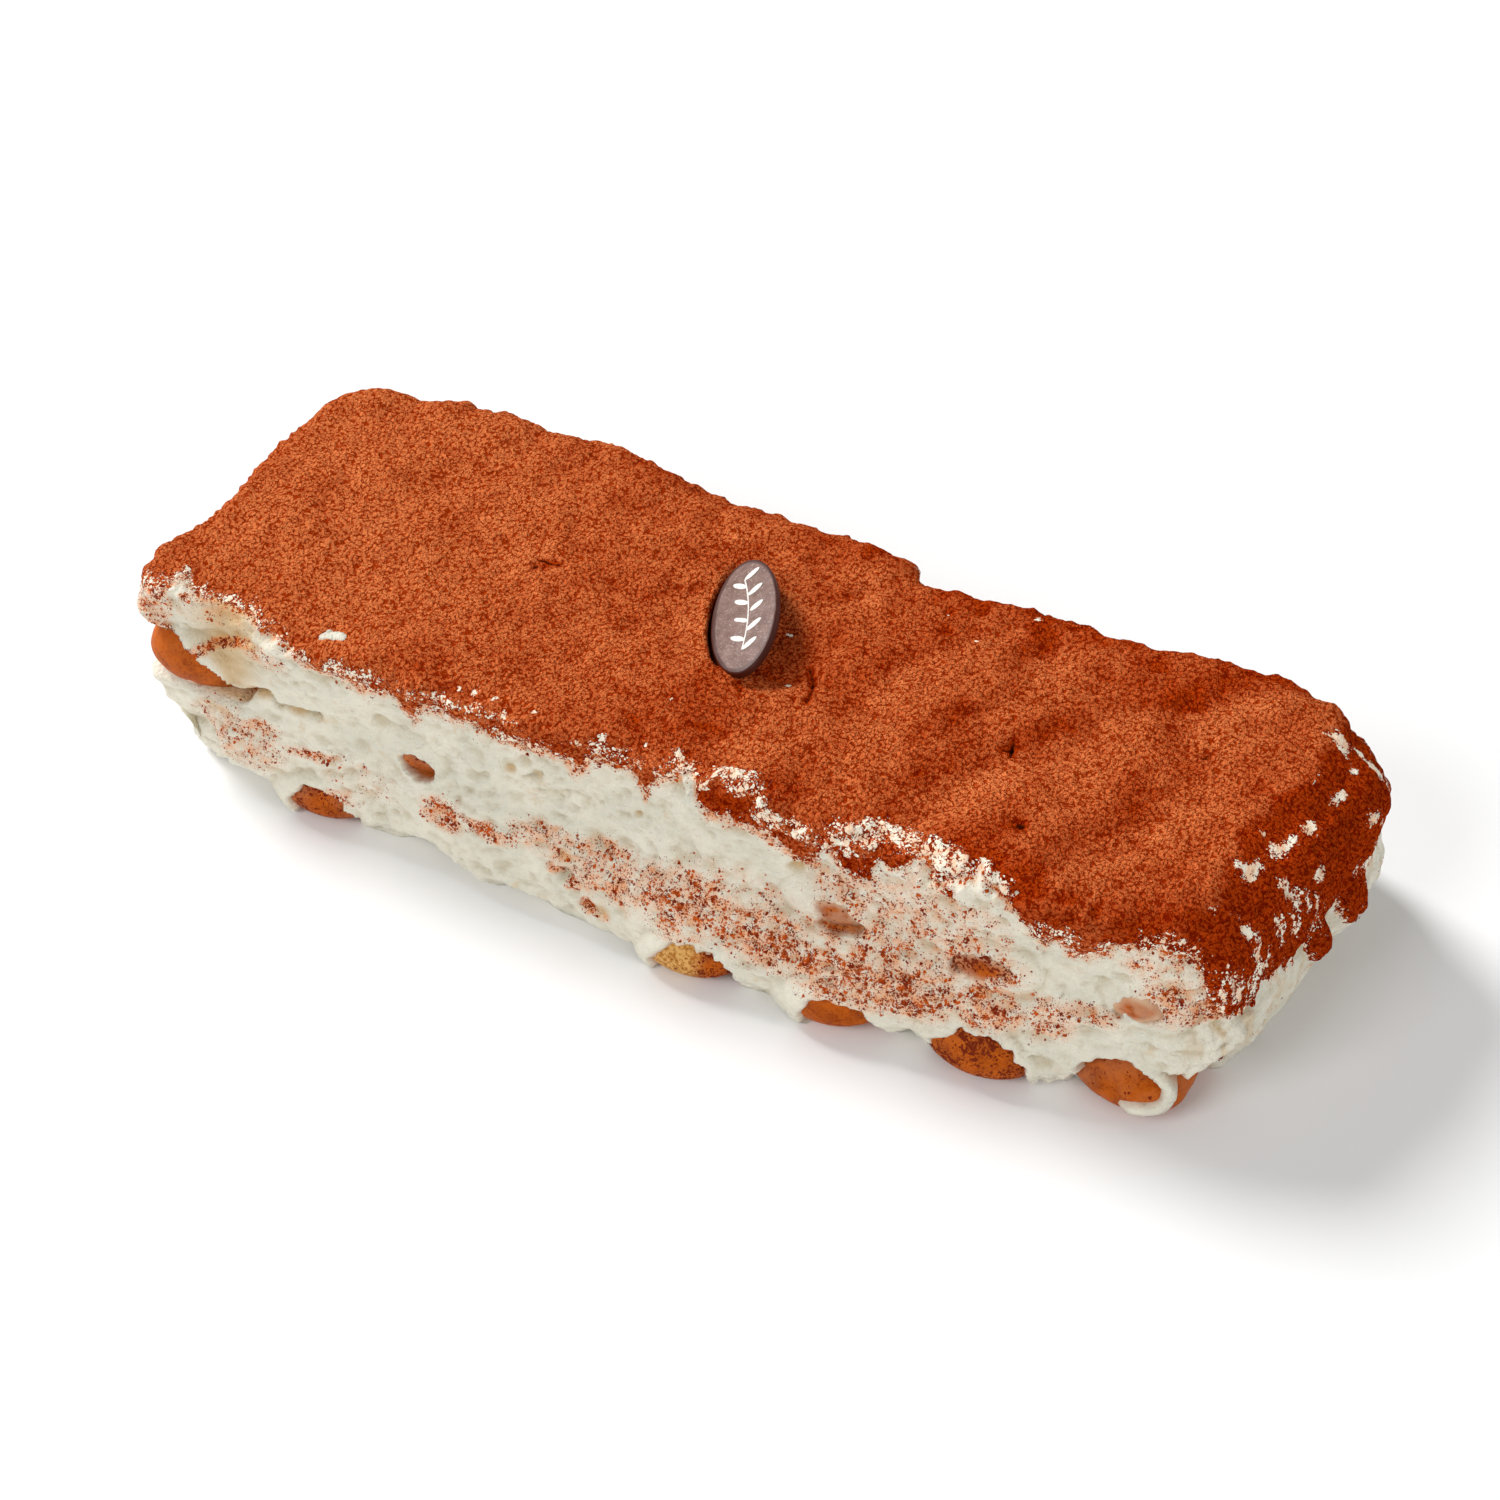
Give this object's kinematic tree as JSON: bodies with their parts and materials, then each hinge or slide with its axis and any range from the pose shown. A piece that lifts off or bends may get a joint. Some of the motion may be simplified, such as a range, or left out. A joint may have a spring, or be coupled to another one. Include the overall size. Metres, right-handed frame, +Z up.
{
  "type": "tiramisu",
  "caption": "Whole tiramisu block: ladyfingers layered in mascarpone cream, dusted with cocoa over the top and one end, with an oval chocolate plaque; a dessert to slice and serve.",
  "frame": {"origin": "middle of the underside that the block rests on", "axes": "+X along the block towards its cocoa-covered sloping end, -Y towards the front side, +Z up"},
  "size_m": [0.3052, 0.12, 0.0659],
  "materials": {
    "cream": "soft satin mascarpone cream",
    "cocoa": "dry matte cocoa powder",
    "ladyfinger": "moist golden-brown sponge biscuit",
    "chocolate": "satin chocolate with a pale bloom"
  },
  "bodies": {
    "root": {"ladyfinger_lower_1": "ladyfinger", "ladyfinger_lower_2": "ladyfinger", "ladyfinger_lower_3": "ladyfinger", "ladyfinger_lower_4": "ladyfinger", "ladyfinger_lower_5": "ladyfinger", "ladyfinger_lower_6": "ladyfinger", "ladyfinger_lower_7": "ladyfinger", "ladyfinger_lower_8": "ladyfinger", "ladyfinger_upper_1": "ladyfinger", "ladyfinger_upper_2": "ladyfinger", "ladyfinger_upper_3": "ladyfinger", "ladyfinger_upper_4": "ladyfinger", "ladyfinger_upper_5": "ladyfinger", "ladyfinger_upper_6": "ladyfinger", "ladyfinger_upper_7": "ladyfinger", "ladyfinger_upper_8": "ladyfinger", "cream_lower": "cream", "cream_upper": "cream", "cocoa_dusting": "cocoa", "chocolate_plaque": "chocolate"}
  },
  "joints": []
}
